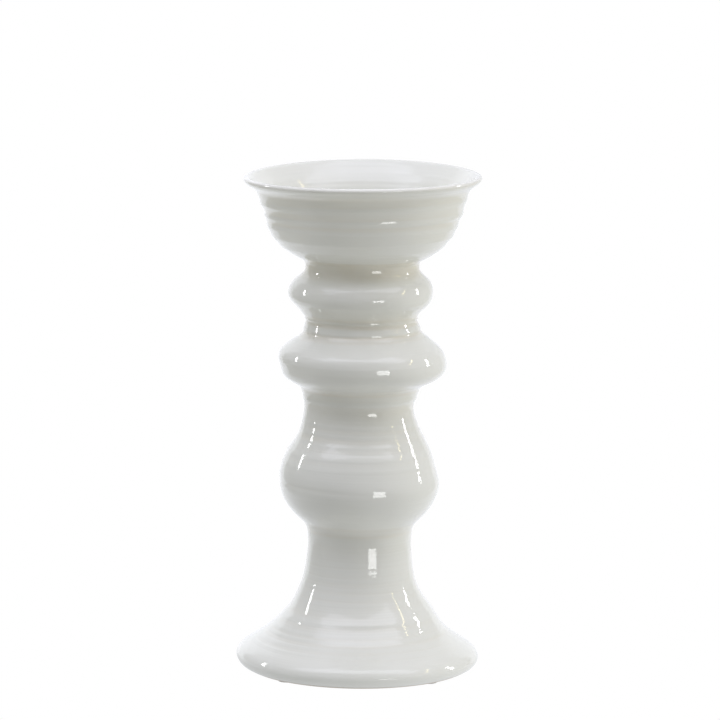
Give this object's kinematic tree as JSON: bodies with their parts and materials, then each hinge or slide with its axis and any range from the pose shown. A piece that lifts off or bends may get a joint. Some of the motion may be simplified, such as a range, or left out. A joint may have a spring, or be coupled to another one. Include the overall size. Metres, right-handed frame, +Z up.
{
  "type": "pillar candle holder",
  "caption": "Tall turned candle holder: a flared round cup on a stem of stacked knops and a bulb, with a round spreading foot.",
  "frame": {"origin": "middle of the surface that the holder stands on, under its axis", "axes": "+Z up along the turned axis from the foot to the cup; the holder is round, so X and Y are any two directions square to it, with the felt pads between them"},
  "size_m": [0.1464, 0.1464, 0.3],
  "materials": {
    "glaze": "white glossy glaze over fine throwing rings, thinner and warmer in the grooves",
    "slip": "joining slip under the same glaze, slightly warm",
    "felt": "thin pale felt"
  },
  "bodies": {
    "root": {"cup": "glaze", "upper_knop": "glaze", "lower_knop": "glaze", "bulb": "glaze", "foot": "glaze", "cup_joint_slip": "slip", "knop_joint_slip": "slip", "neck_joint_slip": "slip", "foot_joint_slip": "slip", "felt_pad_1": "felt", "felt_pad_2": "felt", "felt_pad_3": "felt", "felt_pad_4": "felt"}
  },
  "joints": []
}
